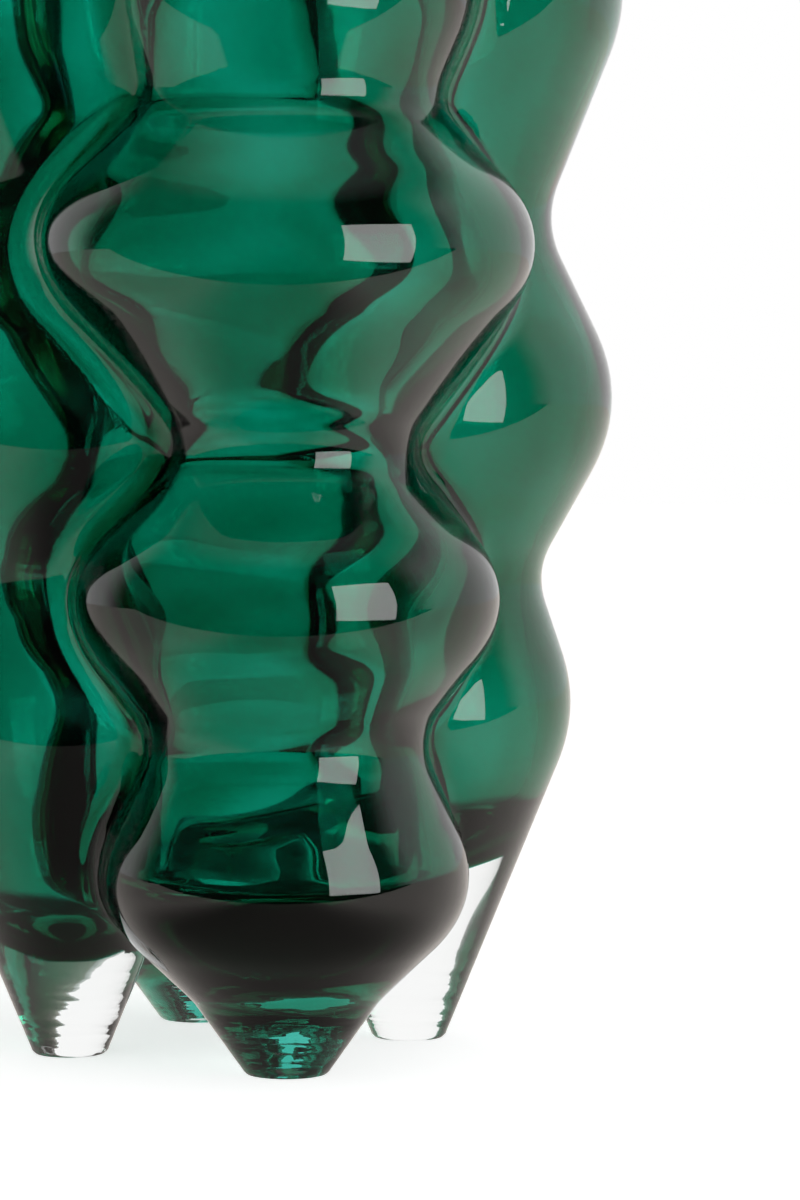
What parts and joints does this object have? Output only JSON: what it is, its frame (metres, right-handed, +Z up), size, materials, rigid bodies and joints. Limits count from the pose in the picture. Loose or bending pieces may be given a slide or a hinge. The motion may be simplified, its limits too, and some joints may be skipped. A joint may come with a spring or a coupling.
{
  "type": "glass vase",
  "caption": "Tall cased-glass vase of joined round lobes that swell and narrow in turn, with a green inner vessel, a clear casing and solid clear tapered feet.",
  "frame": {"origin": "on the table, under the vase's axis, midway between the feet", "axes": "+Z up along the vase's axis; -Y towards the front lobe, +X towards the right lobe"},
  "size_m": [0.1994, 0.2122, 0.325],
  "materials": {
    "clear_glass": "fire-polished clear glass, ground and polished under the feet and at the rim",
    "green_glass": "smooth transparent bluish green glass"
  },
  "bodies": {
    "root": {"clear_casing": "clear_glass", "green_vessel": "green_glass", "foot_front": "clear_glass", "foot_right": "clear_glass", "foot_back": "clear_glass", "foot_left": "clear_glass"}
  },
  "joints": []
}
